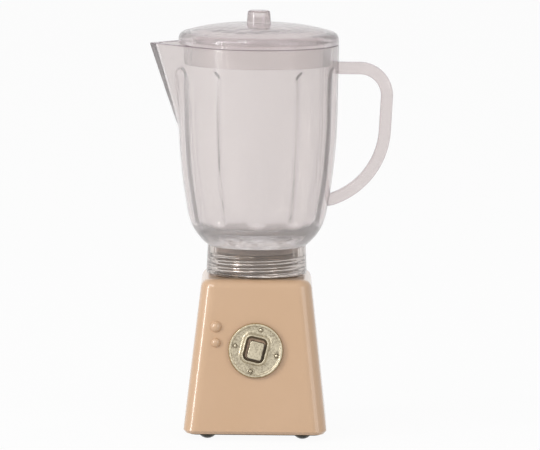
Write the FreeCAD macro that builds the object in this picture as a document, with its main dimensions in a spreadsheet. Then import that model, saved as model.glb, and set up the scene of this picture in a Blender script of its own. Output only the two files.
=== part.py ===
import FreeCAD, Part
import math
import os
import Sketcher

# A doll's-house toy blender: enamelled metal base, threaded neck, clear ribbed jug and clear lid.
# Millimetres. The axis of the jug and base is Z, the floor is at zero, the spout points along -X,
# the handle along +X and the switch plate faces -Y.

doc = FreeCAD.newDocument("toy_blender")
sheet = doc.addObject("Spreadsheet::Sheet", "sizes")
parts = []
aliases = []


# Sizes and their sheet formulas


class Size:
    """A number together with the sheet formula that gives it."""

    def __init__(self, value, formula):
        self.value = value
        self.formula = formula

    def __add__(self, other):
        other = as_size(other)
        return Size(self.value + other.value, f"({self.formula} + {other.formula})")

    def __sub__(self, other):
        other = as_size(other)
        return Size(self.value - other.value, f"({self.formula} - {other.formula})")

    def __mul__(self, other):
        other = as_size(other)
        return Size(self.value * other.value, f"({self.formula} * {other.formula})")

    def __truediv__(self, other):
        other = as_size(other)
        return Size(self.value / other.value, f"({self.formula} / {other.formula})")

    def __neg__(self):
        return Size(-self.value, f"(-1 * {self.formula})")


def as_size(number):
    """Gives a plain number the same form as a size from the sheet."""
    if isinstance(number, Size):
        return number
    return Size(number, repr(float(number)))


def root(size):
    return Size(math.sqrt(size.value), f"sqrt({size.formula})")


def slope(angle):
    return Size(math.tan(math.radians(angle.value)), f"tan({angle.formula})")


def driving(alias, value):
    """Puts one driving dimension on its own row of the sheet."""
    row = len(aliases) + 1
    aliases.append(alias)
    sheet.set(f"A{row}", alias)
    sheet.set(f"B{row}", str(value))
    sheet.setAlias(f"B{row}", alias)
    return Size(float(value), f"sizes.{alias}")


def arc_points(start, finish, radius, pieces, bulge=1):
    """Points along the arc from start to finish, which bulges to the right, or to the left at -1."""
    (x, y), (end_x, end_y) = start, finish
    across = as_size(end_x) - x
    up = as_size(end_y) - y
    chord = root(across * across + up * up)
    middle = root(radius * radius - chord * chord / 4)
    points = []
    for number in range(1, pieces):
        share = number / pieces
        along = chord * (share - 0.5)
        rise = (root(radius * radius - along * along) - middle) * bulge / chord
        points.append((across * share + x + up * rise, up * share + y - across * rise))
    return points


# Base housing, plate and feet
base_half = 11.8  # half width of the housing at its bottom edge
base_draft = 6.45  # draft of the housing's four sides, degrees
base_bottom = 1.1  # level of the housing's bottom edge
base_height = 25.2  # height of the housing
base_wall = 1.0  # wall of the housing
roof_wall = 1.3  # wall of the housing's top
corner_round = 2.4  # corner radius of the housing
top_edge = 1.5  # radius of the housing's top edge
bottom_edge = 0.5  # radius of the housing's bottom edge
plate_thick = 1.0  # thickness of the base plate
plate_proud = 0.2  # how far the base plate stands below the housing
plate_gap = 0.05  # gap round the base plate
foot_in = 4.0  # housing's side at its bottom in to a foot's centre
foot_ball = 1.75  # radius of the ball that a foot's dome is cut from
foot_flat = 0.5  # radius of the flat under a foot
foot_shank = 0.8  # radius of a foot's shank
shank_grip = 4.5  # length of shank inside the housing's corner post
post_half = 2.1  # a foot's centre to the inner faces of its corner post
post_cap = 1.5  # solid top of a corner post above the shank

# Two enamelled-over bumps beside the switch
bump_high = 0.5  # how far a bump stands out
bump_left = 6.55  # distance of the bumps from the centre plane
bump_top = 18.7  # level of the upper bump
bump_step = 2.6  # upper bump to lower bump
bump_large = 0.85  # radius of the upper bump
bump_small = 0.7  # radius of the lower bump

# Switch plate, rivets and button, measured square to the housing's front
switch_level = 14.85  # level of the switch plate's centre
switch_skew = 13.4  # clockwise turn of the plate, degrees
disc_radius = 4.52  # radius of the switch plate
disc_thick = 0.4  # thickness of the plate's field
rim_high = 0.25  # height of the plate's rim above its field
rim_wide = 0.6  # width of the plate's rim
rivet_circle = 3.49  # radius of the circle of rivets
rivet_head = 0.3  # radius of a rivet's head
rivet_shank = 0.18  # radius of a rivet's shank
rivet_grip = 0.7  # length of rivet in the housing's wall
recess_radius = 0.48  # radius of the ring round a rivet
recess_deep = 0.12  # depth of the ring round a rivet
bezel_wide = 4.7  # width of the raised bezel
bezel_tall = 5.3  # height of the raised bezel
bezel_round = 1.5  # corner radius of the bezel
bezel_high = 0.5  # height of the bezel above the field
well_wide = 3.4  # width of the well inside the bezel
well_tall = 4.0  # height of the well inside the bezel
well_round = 0.9  # corner radius of the well
button_wide = 2.33  # width of the button
button_tall = 2.94  # height of the button
button_round = 0.35  # corner radius of the button
button_proud = 0.2  # how far the button stands above the bezel
button_gap = 0.06  # gap round the button
button_travel = 0.6  # how far the button goes in
button_body = 0.5  # depth of button below the housing's face
stem_radius = 0.4  # radius of the button's stem
stem_gap = 0.06  # radial gap round the stem
spring_room = 2.9  # length of the button's spring at rest
spring_wire = 0.11  # radius of the spring's wire
spring_coil = 0.68  # radius of the spring's coil to the wire's centre
socket_floor = 0.6  # floor of the button's socket
socket_wall = 0.8  # wall of the button's socket
clip_thick = 0.3  # thickness of the clip on the stem
clip_radius = 0.9  # radius of the clip on the stem

# Neck, seal and jug
neck_radius = 6.85  # radius over the neck's threads
neck_high = 3.8  # height of the neck
neck_rim = 1.0  # width of the neck's rim
neck_edge = 0.25  # chamfer of the neck's rim
neck_dish = 1.1  # depth of the dish in the neck
screw_radius = 1.0  # radius of the neck's screw
screw_reach = 1.9  # length of screw inside the neck
screw_head = 1.9  # radius of the screw's head
screw_head_high = 1.3  # height of the screw's head
washer_radius = 2.8  # radius of the screw's washer
washer_thick = 0.4  # thickness of the screw's washer
seal_thick = 1.5  # thickness of the clear seal
seal_hole = 4.6  # radius of the hole in the seal
collar_gap = 0.1  # radial gap between collar and neck
collar_foot = 0.2  # gap between collar and housing
collar_wall = 1.3  # wall of the jug's collar at its bottom
collar_top = 31.2  # level where the collar meets the jug's shoulder
collar_edge = 0.3  # chamfer of the collar's bottom edge
collar_draft = 0.15  # how much narrower the collar is at its top
jug_floor = 2.4  # thickness of the jug's floor
jug_wall = 1.1  # wall of the jug
shoulder_level = 36.1  # level where the jug's shoulder ends
shoulder_half = 11.35  # jug's radius at the end of the shoulder
shoulder_bend = 8.9  # radius of the shoulder's curve
belly_level = 54.0  # level where the jug's side turns straight
belly_inset = 0.1  # how far the jug's side is inside its rim where it turns straight
belly_bend = 94.0  # radius of the side's long curve
rim_level = 64.5  # level of the jug's rim
rim_half = 13.25  # radius of the jug's rim
floor_bend = 2.4  # radius of the curve between floor and wall, inside
rib_count = 10  # number of ribs inside the jug
rib_wide = 2.9  # width of a rib
rib_proud = 0.55  # how far a rib stands in from the wall
rib_under_lid = 3.7  # rim to the top of the ribs
spout_reach = 18.3  # jug's axis to the spout's tip
spout_root = 14.2  # rim down to the foot of the spout
spout_nose = 0.5  # radius of the spout's ridge

# Handle
handle_thick = 2.0  # handle's thickness, seen from the front
handle_wide = 2.2  # handle's width, front to back
handle_edge = 0.45  # chamfer of the handle's edges
handle_top = 60.6  # level of the handle's upper arm
handle_out = 21.45  # axis to the handle's outer corner
handle_low_out = 20.5  # axis to the handle's lower corner
handle_low = 41.2  # level of the handle's lower corner
handle_root = 38.55  # level of the handle's lower root
handle_upper_bend = 3.9  # radius of the handle's upper corner
handle_lower_bend = 9.0  # radius of the handle's lower corner
root_gap = 0.02  # glue line between the handle's ends and the jug

# Lid and knob
lid_inset = 0.05  # how far the lid's flange is inside the jug's rim
lid_flange_high = 1.0  # height of the lid's straight edge
lid_turn_in = 1.0  # lid's flange in to where its edge turns over
lid_turn_high = 2.0  # rim to where the lid's edge turns over
lid_turn = 1.5  # radius of the lid's turned edge
lid_brow_in = 3.6  # lid's flange in to where its crown starts to fall
lid_brow_high = 2.65  # rim to where the lid's crown starts to fall
lid_crown = 3.35  # rim to the top of the lid
lid_wall = 1.1  # wall of the lid
plug_gap = 0.08  # radial gap between lid plug and jug
plug_deep = 3.3  # depth of the lid's plug
knob_low = 2.02  # radius of the knob at its foot
knob_upper = 1.82  # radius of the knob at its top
knob_high = 2.2  # height of the knob
knob_edge = 0.35  # chamfer of the knob's top edge
knob_pin = 0.8  # radius of the knob's peg

# Every number named above becomes a cell of the sheet and a size that carries its formula.
for name, number in list(globals().items()):
    if isinstance(number, (int, float)):
        globals()[name] = driving(name, number)

doc.recompute()


def half_at(level):
    """Half the housing's width at a level of its drafted sides."""
    return base_half - (level - base_bottom) * slope(base_draft)


# Levels and places that follow from the driving dimensions
base_top = base_bottom + base_height
plate_bottom = base_bottom - plate_proud
plate_top = plate_bottom + plate_thick
cavity_top = base_top - roof_wall
cavity_top_half = half_at(cavity_top) - base_wall
mouth_half = half_at(plate_top) - base_wall
front_reach = half_at(switch_level)
foot_place = base_half - foot_in
post_top = plate_top + shank_grip + post_cap
neck_top = base_top + neck_high
seal_top = neck_top + seal_thick
collar_bore = neck_radius + collar_gap
floor_top = seal_top + jug_floor
bezel_face = disc_thick + bezel_high
button_face = bezel_face + button_proud
pocket_deep = button_body + button_travel + button_gap
spring_seat = button_body + spring_room
socket_back = spring_seat + socket_floor
spring_bore = spring_coil + spring_wire + stem_gap
rib_top = rim_level - rib_under_lid
belly_half = rim_half - belly_inset
lid_flange = rim_half - lid_inset
lid_shoulder = lid_flange - lid_turn_in
lid_brow = lid_flange - lid_brow_in


# Sketches and features


def plane(body, role):
    """Finds one of a body's own origin planes or axes by its role."""
    for feature in body.Origin.OriginFeatures:
        if feature.Role == role:
            return feature
    raise ValueError(role)


def new_body(label):
    body = doc.addObject("PartDesign::Body", label)
    body.Label = label
    parts.append(body)
    return body


def sketch_on(body, role, name, lift=None):
    """A sketch on one of the body's origin planes, moved along the plane's normal by lift."""
    sketch = body.newObject("Sketcher::SketchObject", name)
    sketch.AttachmentSupport = (plane(body, role), [""])
    sketch.MapMode = "FlatFace"
    if lift is not None:
        sketch.setExpression("AttachmentOffset.Base.z", lift.formula)
    return sketch


def front_sketch(body, name, level, sideways=None, turn=None):
    """A sketch flat on the housing's drafted front, at a level and a distance to the left."""
    sketch = sketch_on(body, "XZ_Plane", name)
    reach = half_at(level)
    left = as_size(0.0) if sideways is None else -sideways
    spin = "" if turn is None else f" * rotationz(-{turn.formula})"
    place = f"vector({left.formula}; {level.formula}; {reach.formula})"
    sketch.setExpression("AttachmentOffset", f"placement({place}; rotationx(-{base_draft.formula}){spin})")
    return sketch


def stand_on_front(body):
    """Sets a body on the switch plate's centre: its own Z points out of the housing's front."""
    place = f"vector(0; -{front_reach.formula}; {switch_level.formula})"
    turn = f"rotationx(90 - {base_draft.formula}) * rotationz(-{switch_skew.formula})"
    body.setExpression("Placement", f"placement({place}; {turn})")


def pin_point(sketch, geometry, end, x, y):
    """Holds one point of a sketch at x, y."""
    for kind, axis, size in (("DistanceX", -2, as_size(x)), ("DistanceY", -1, as_size(y))):
        if size.value == 0.0:
            sketch.addConstraint(Sketcher.Constraint("PointOnObject", geometry, end, axis))
        else:
            number = sketch.addConstraint(Sketcher.Constraint(kind, -1, 1, geometry, end, size.value))
            sketch.setExpression(f"Constraints[{number}]", size.formula)


def set_radius(sketch, geometry, radius):
    number = sketch.addConstraint(Sketcher.Constraint("Radius", geometry, radius.value))
    sketch.setExpression(f"Constraints[{number}]", radius.formula)


def circle(sketch, x, y, radius):
    centre = FreeCAD.Vector(as_size(x).value, as_size(y).value, 0)
    number = sketch.addGeometry(Part.Circle(centre, FreeCAD.Vector(0, 0, 1), radius.value), False)
    set_radius(sketch, number, radius)
    pin_point(sketch, number, 3, x, y)


def left_of(direction):
    return FreeCAD.Vector(-direction.y, direction.x, 0)


def outline(sketch, corners, closed=True):
    """Draws straight runs through corners given as x, y, or as x, y, radius for a tangent arc."""
    count = len(corners)
    places = [FreeCAD.Vector(as_size(c[0]).value, as_size(c[1]).value, 0) for c in corners]
    entries = list(places)
    exits = list(places)
    turns = {}
    for number, corner in enumerate(corners):
        if len(corner) == 3:
            before = (places[number] - places[number - 1]).normalize()
            after = (places[(number + 1) % count] - places[number]).normalize()
            side = 1 if before.cross(after).z > 0 else -1
            radius = corner[2].value
            trim = radius * math.tan(before.getAngle(after) / 2)
            entries[number] = places[number] - before * trim
            exits[number] = places[number] + after * trim
            centre = entries[number] + left_of(before) * (side * radius)
            nearest = centre + (places[number] - centre).normalize() * radius
            turns[number] = (side, nearest)
    runs = []
    for number in range(count if closed else count - 1):
        after = (number + 1) % count
        runs.append(sketch.addGeometry(Part.LineSegment(exits[number], entries[after]), False))
    for number, corner in enumerate(corners):
        first = not closed and number == 0
        last = not closed and number == count - 1
        coming = runs[number - 1]
        going = runs[number] if number < len(runs) else None
        if number in turns:
            side, nearest = turns[number]
            arc = sketch.addGeometry(Part.Arc(entries[number], nearest, exits[number]), False)
            arc_in, arc_out = (1, 2) if side > 0 else (2, 1)
            sketch.addConstraint(Sketcher.Constraint("Tangent", coming, 2, arc, arc_in))
            sketch.addConstraint(Sketcher.Constraint("Tangent", arc, arc_out, going, 1))
            set_radius(sketch, arc, corner[2])
            mark = sketch.addGeometry(Part.Point(places[number]), True)
            pin_point(sketch, mark, 1, corner[0], corner[1])
            sketch.addConstraint(Sketcher.Constraint("PointOnObject", mark, 1, coming))
            sketch.addConstraint(Sketcher.Constraint("PointOnObject", mark, 1, going))
        elif last:
            pin_point(sketch, coming, 2, corner[0], corner[1])
        else:
            if not first:
                sketch.addConstraint(Sketcher.Constraint("Coincident", coming, 2, going, 1))
            pin_point(sketch, going, 1, corner[0], corner[1])


def block(sketch, half_x, half_y, radius=None):
    """A rectangle about the sketch's origin, with rounded corners where a radius is given."""
    ends = ((-half_x, -half_y), (half_x, -half_y), (half_x, half_y), (-half_x, half_y))
    outline(sketch, [end if radius is None else end + (radius,) for end in ends])


def revolve(body, sketch, name, kind="PartDesign::Revolution"):
    feature = body.newObject(kind, name)
    feature.Profile = sketch
    feature.ReferenceAxis = (sketch, ["V_Axis"])
    feature.Angle = 360
    return feature


def pad(body, sketch, name, length, kind="PartDesign::Pad", backwards=False):
    feature = body.newObject(kind, name)
    feature.Profile = sketch
    feature.setExpression("Length", length.formula)
    feature.Reversed = backwards
    return feature


def loft(body, sketches, name, kind="PartDesign::AdditiveLoft"):
    feature = body.newObject(kind, name)
    feature.Profile = sketches[0]
    feature.Sections = sketches[1:]
    feature.Ruled = True
    return feature


def round_edges(body, base, name, radius, chosen, kind="PartDesign::Fillet"):
    """Rounds the edges of base that the chosen test picks."""
    doc.recompute()
    names = [f"Edge{n + 1}" for n, edge in enumerate(base.Shape.Edges) if chosen(edge)]
    feature = body.newObject(kind, name)
    feature.Base = (base, names)
    feature.setExpression("Radius" if kind.endswith("Fillet") else "Size", radius.formula)
    return feature


def at_level(level):
    """Tests whether an edge lies flat at a level."""

    def chosen(edge):
        box = edge.BoundBox
        return abs(box.ZMin - level.value) < 1e-4 and abs(box.ZMax - level.value) < 1e-4

    return chosen


def is_sloping(edge):
    """Tests whether an edge runs from one level to another."""
    return edge.BoundBox.ZLength > 1.0


# Base housing: a drafted shell with a post in each corner for the feet


def wedge(body, name, low, high, low_half, high_half, kind="PartDesign::AdditiveWedge"):
    """A square block between two levels whose four sides lean in."""
    feature = body.newObject(kind, name)
    feature.AttachmentSupport = (plane(body, "XY_Plane"), [""])
    feature.MapMode = "FlatFace"
    # A wedge narrows along its own Y, so it is stood on end.
    feature.setExpression("AttachmentOffset", f"placement(vector(0; 0; {low.formula}); rotationx(90))")
    feature.Ymin = 0
    feature.setExpression("Ymax", (high - low).formula)
    for axis in ("X", "Z"):
        feature.setExpression(f"{axis}min", (-low_half).formula)
        feature.setExpression(f"{axis}max", low_half.formula)
        feature.setExpression(f"{axis}2min", (-high_half).formula)
        feature.setExpression(f"{axis}2max", high_half.formula)
    return feature


def make_base_housing():
    body = new_body("base_housing")
    form = wedge(body, "housing_form", base_bottom, base_top, base_half, half_at(base_top))
    rounded = round_edges(body, form, "housing_corners", corner_round, is_sloping)
    softened = round_edges(body, rounded, "housing_top_edge", top_edge, at_level(base_top))
    round_edges(
        body, softened, "housing_bottom_edge", bottom_edge, at_level(base_bottom), "PartDesign::Chamfer"
    )
    mouth = sketch_on(body, "XY_Plane", "housing_mouth", base_bottom)
    block(mouth, mouth_half, mouth_half, corner_round - base_wall)
    pad(body, mouth, "plate_seat", plate_top - base_bottom, "PartDesign::Pocket", True)
    wedge(body, "cavity", plate_top, cavity_top, mouth_half, cavity_top_half, "PartDesign::SubtractiveWedge")
    for x_side in (-1, 1):
        for y_side in (-1, 1):
            name = ("right" if x_side > 0 else "left") + ("_rear" if y_side > 0 else "_front")
            post = sketch_on(body, "XY_Plane", "post_" + name, plate_top)
            near = foot_place - post_half
            far = half_at(post_top) - base_wall * 0.5
            corners = [
                (near * x_side, near * y_side),
                (far * x_side, near * y_side),
                (far * x_side, far * y_side, corner_round - base_wall * 0.5),
                (near * x_side, far * y_side),
            ]
            outline(post, corners)
            pad(body, post, "post_pad_" + name, post_top - plate_top)
    shanks = sketch_on(body, "XY_Plane", "shank_holes", plate_top)
    for x_side in (-1, 1):
        for y_side in (-1, 1):
            circle(shanks, as_size(x_side) * foot_place, as_size(y_side) * foot_place, foot_shank)
    pad(body, shanks, "shank_hole", shank_grip, "PartDesign::Pocket", True)
    screw = sketch_on(body, "XY_Plane", "screw_hole", cavity_top)
    circle(screw, 0, 0, screw_radius)
    pad(body, screw, "screw_passage", roof_wall, "PartDesign::Pocket", True)
    socket = front_sketch(body, "socket_outline", switch_level, turn=switch_skew)
    block(
        socket,
        button_wide / 2 + button_gap + socket_wall,
        button_tall / 2 + button_gap + socket_wall,
        button_round + socket_wall,
    )
    pad(body, socket, "socket", socket_back, backwards=True)
    button = front_sketch(body, "button_pocket", switch_level, turn=switch_skew)
    block(button, button_wide / 2 + button_gap, button_tall / 2 + button_gap, button_round + button_gap)
    pad(body, button, "button_room", pocket_deep, "PartDesign::Pocket")
    spring = front_sketch(body, "spring_hole", switch_level, turn=switch_skew)
    circle(spring, 0, 0, spring_bore)
    pad(body, spring, "spring_room", spring_seat, "PartDesign::Pocket")
    stem = front_sketch(body, "stem_hole", switch_level, turn=switch_skew)
    circle(stem, 0, 0, stem_radius + stem_gap)
    pad(body, stem, "stem_room", socket_back * 1.2, "PartDesign::Pocket")
    rivets = front_sketch(body, "rivet_holes", switch_level, turn=switch_skew)
    for x, y in ((rivet_circle, 0), (0, rivet_circle), (-rivet_circle, 0), (0, -rivet_circle)):
        circle(rivets, x, y, rivet_shank)
    pad(body, rivets, "rivet_hole", rivet_grip, "PartDesign::Pocket")
    for name, level, radius in (
        ("upper_bump", bump_top, bump_large),
        ("lower_bump", bump_top - bump_step, bump_small),
    ):
        spot = front_sketch(body, name, level, sideways=bump_left)
        circle(spot, 0, 0, radius)
        bump = pad(body, spot, name + "_pad", bump_high)
        doc.recompute()
        crown = [
            f"Edge{n + 1}"
            for n, edge in enumerate(bump.Shape.Edges)
            if abs(edge.Length - 2 * math.pi * radius.value) < 1e-3 and edge.CenterOfMass.y < outer_y(level)
        ]
        dome = body.newObject("PartDesign::Chamfer", name + "_crown")
        dome.Base = (bump, crown)
        dome.setExpression("Size", (bump_high * 0.6).formula)


def outer_y(level):
    """A value of y just outside the housing's front at a level."""
    return -(half_at(level).value + bump_high.value / 2)


make_base_housing()


# Base plate: closes the housing from below


def make_base_plate():
    body = new_body("base_plate")
    edge = sketch_on(body, "XY_Plane", "plate_edge", plate_bottom)
    half = mouth_half - plate_gap
    block(edge, half, half, corner_round - base_wall - plate_gap)
    pad(body, edge, "plate", plate_thick)
    holes = sketch_on(body, "XY_Plane", "plate_holes", plate_top)
    for x_side in (-1, 1):
        for y_side in (-1, 1):
            circle(holes, as_size(x_side) * foot_place, as_size(y_side) * foot_place, foot_shank)
    pad(body, holes, "plate_hole", plate_thick, "PartDesign::Pocket")


make_base_plate()


# Feet: domed pins that hold the plate to the housing's posts


def make_foot(label, x_side, y_side):
    body = new_body(label)
    drop = root(foot_ball * foot_ball - foot_flat * foot_flat)
    dome_half = root(foot_ball * foot_ball - (plate_bottom - drop) * (plate_bottom - drop))
    profile = sketch_on(body, "XZ_Plane", "foot_profile")
    outline(
        profile,
        [
            (0, 0),
            (foot_flat, 0),
            *arc_points((foot_flat, 0), (dome_half, plate_bottom), foot_ball, 3),
            (dome_half, plate_bottom),
            (foot_shank, plate_bottom),
            (foot_shank, plate_top + shank_grip),
            (0, plate_top + shank_grip),
        ],
    )
    revolve(body, profile, "foot")
    body.setExpression("Placement.Base.x", (as_size(x_side) * foot_place).formula)
    body.setExpression("Placement.Base.y", (as_size(y_side) * foot_place).formula)


for end, y_side in (("front", -1), ("rear", 1)):
    for hand, x_side in (("left", -1), ("right", 1)):
        make_foot(f"foot_{end}_{hand}", x_side, y_side)


# Switch plate: a round plate with a rim, four riveted rings and a bezel round the button


def make_switch_plate():
    body = new_body("switch_plate")
    field = sketch_on(body, "XZ_Plane", "disc_profile")
    rim_inner = disc_radius - rim_wide
    rim_top = disc_thick + rim_high
    outline(
        field,
        [
            (0, 0),
            (disc_radius, 0),
            (disc_radius, disc_thick),
            (disc_radius - rim_high * 0.8, rim_top),
            (rim_inner + rim_high * 0.5, rim_top),
            (rim_inner, disc_thick),
            (0, disc_thick),
        ],
    )
    revolve(body, field, "disc")
    raised = sketch_on(body, "XY_Plane", "bezel_foot", disc_thick * 0.5)
    block(raised, bezel_wide / 2, bezel_tall / 2, bezel_round)
    crest = sketch_on(body, "XY_Plane", "bezel_crest", bezel_face)
    block(crest, bezel_wide / 2 - bezel_high, bezel_tall / 2 - bezel_high, bezel_round - bezel_high)
    loft(body, [raised, crest], "bezel")
    well = sketch_on(body, "XY_Plane", "well_crest", bezel_face)
    block(well, well_wide / 2, well_tall / 2, well_round)
    pad(body, well, "well", bezel_high, "PartDesign::Pocket")
    window = sketch_on(body, "XY_Plane", "window", bezel_face)
    block(window, button_wide / 2 + button_gap, button_tall / 2 + button_gap, button_round + button_gap)
    pad(body, window, "button_window", bezel_face, "PartDesign::Pocket")
    rings = sketch_on(body, "XY_Plane", "rings", disc_thick)
    holes = sketch_on(body, "XY_Plane", "rivet_holes", disc_thick)
    for x, y in ((rivet_circle, 0), (0, rivet_circle), (-rivet_circle, 0), (0, -rivet_circle)):
        circle(rings, x, y, recess_radius)
        circle(holes, x, y, rivet_shank)
    pad(body, rings, "ring_recess", recess_deep, "PartDesign::Pocket")
    pad(body, holes, "rivet_hole", disc_thick, "PartDesign::Pocket")
    stand_on_front(body)


make_switch_plate()


# Rivets: domed pins through the switch plate into the housing's wall


def make_rivet(label, x, y):
    body = new_body(label)
    profile = sketch_on(body, "XZ_Plane", "rivet_profile")
    seat = disc_thick - recess_deep
    brim = (rivet_head, seat)
    crown = (as_size(0), seat + rivet_head)
    outline(
        profile,
        [
            (0, -rivet_grip),
            (rivet_shank, -rivet_grip),
            (rivet_shank, seat),
            brim,
            *arc_points(brim, crown, rivet_head, 2),
            crown,
        ],
    )
    revolve(body, profile, "rivet")
    place = f"vector(0; -{front_reach.formula}; {switch_level.formula})"
    turn = f"rotationx(90 - {base_draft.formula}) * rotationz(-{switch_skew.formula})"
    shift = f"placement(vector({as_size(x).formula}; {as_size(y).formula}; 0); rotationz(0))"
    body.setExpression("Placement", f"placement({place}; {turn}) * {shift}")


for side, x, y in (
    ("right", rivet_circle, 0),
    ("top", 0, rivet_circle),
    ("left", -rivet_circle, 0),
    ("bottom", 0, -rivet_circle),
):
    make_rivet(f"switch_rivet_{side}", x, y)


# Push button, its spring and the clip that keeps it in


def make_button():
    body = new_body("switch_button")
    cap = sketch_on(body, "XY_Plane", "cap_outline", -button_body)
    block(cap, button_wide / 2, button_tall / 2, button_round)
    head = pad(body, cap, "cap", button_body + button_face)
    chosen = at_level(button_face)
    round_edges(body, head, "cap_edge", button_round * 0.5, chosen, "PartDesign::Chamfer")
    stem = sketch_on(body, "XY_Plane", "stem_outline", -button_body)
    circle(stem, 0, 0, stem_radius)
    length = socket_back + clip_thick + stem_radius - button_body
    pad(body, stem, "stem", length, backwards=True)
    stand_on_front(body)


make_button()


def make_spring():
    """The closed housing hides the spring, so it is a plain sleeve of the coil's outer size."""
    body = new_body("button_spring")
    sleeve = sketch_on(body, "XY_Plane", "spring_outline", -button_body)
    circle(sleeve, 0, 0, spring_coil + spring_wire)
    circle(sleeve, 0, 0, spring_coil - spring_wire)
    pad(body, sleeve, "spring", spring_room, backwards=True)
    stand_on_front(body)


make_spring()


def make_clip():
    body = new_body("button_clip")
    ring = sketch_on(body, "XY_Plane", "clip_outline", -socket_back)
    circle(ring, 0, 0, clip_radius)
    circle(ring, 0, 0, stem_radius)
    pad(body, ring, "clip", clip_thick, backwards=True)
    stand_on_front(body)


make_clip()


# Neck: a metal ring that the jug's collar screws on to, with its screw and washer


def make_neck():
    body = new_body("neck_ring")
    profile = sketch_on(body, "XZ_Plane", "neck_profile")
    dish_floor = neck_top - neck_dish
    outline(
        profile,
        [
            (0, base_top),
            (neck_radius, base_top),
            (neck_radius, neck_top - neck_edge),
            (neck_radius - neck_edge, neck_top),
            (neck_radius - neck_rim + neck_edge, neck_top),
            (neck_radius - neck_rim, neck_top - neck_edge),
            (neck_radius - neck_rim, dish_floor),
            (0, dish_floor),
        ],
    )
    revolve(body, profile, "neck")
    hole = sketch_on(body, "XY_Plane", "screw_hole", base_top)
    circle(hole, 0, 0, screw_radius)
    pad(body, hole, "screw_thread", screw_reach, "PartDesign::Pocket", True)


make_neck()


def make_neck_washer():
    body = new_body("neck_washer")
    ring = sketch_on(body, "XY_Plane", "washer_outline", cavity_top)
    circle(ring, 0, 0, washer_radius)
    circle(ring, 0, 0, screw_radius)
    pad(body, ring, "washer", washer_thick, backwards=True)


make_neck_washer()


def make_neck_screw():
    body = new_body("neck_screw")
    profile = sketch_on(body, "XZ_Plane", "screw_profile")
    under = cavity_top - washer_thick
    outline(
        profile,
        [
            (0, under - screw_head_high),
            (screw_head * 0.7, under - screw_head_high),
            (screw_head, under - screw_head_high * 0.5),
            (screw_head, under),
            (screw_radius, under),
            (screw_radius, base_top + screw_reach),
            (0, base_top + screw_reach),
        ],
    )
    revolve(body, profile, "screw")


make_neck_screw()


def make_seal():
    body = new_body("jug_seal")
    ring = sketch_on(body, "XY_Plane", "seal_outline", neck_top)
    circle(ring, 0, 0, neck_radius)
    circle(ring, 0, 0, seal_hole)
    pad(body, ring, "seal", seal_thick)


make_seal()


# Jug: one clear moulding with collar, ribs inside and a spout drawn out of the wall


def jug_side(outward):
    """The jug's outer side from the collar's top to the rim, moved out by a gap."""
    neck = (collar_bore + collar_wall - collar_draft + outward, as_size(collar_top))
    shoulder = (shoulder_half + outward, as_size(shoulder_level))
    belly = (belly_half + outward, as_size(belly_level))
    return [
        neck,
        *arc_points(neck, shoulder, shoulder_bend, 3),
        shoulder,
        *arc_points(shoulder, belly, belly_bend, 3),
        belly,
        (rim_half + outward, rim_level),
    ]


def jug_inside(inward):
    """The jug's inner side from its floor up to where it turns straight, at a depth in the wall."""
    foot = (shoulder_half - inward - floor_bend, as_size(floor_top))
    shoulder = (shoulder_half - inward, as_size(shoulder_level))
    belly = (belly_half - inward, as_size(belly_level))
    return [
        foot,
        *arc_points(foot, shoulder, floor_bend * 1.1, 2),
        shoulder,
        *arc_points(shoulder, belly, belly_bend, 3),
        belly,
    ]


def spout_section(body, name, level, reach, outer):
    """The spout's plan at one level: two walls that leave a round wall at a tangent."""
    sketch = sketch_on(body, "XY_Plane", name, level)
    across = outer * root(as_size(1.0) - (outer / reach) * (outer / reach)) * 0.97
    along = outer * (outer / reach) * 0.97
    outline(sketch, [(-reach, 0), (-along, -across), (-along, across)])
    return sketch


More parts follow.
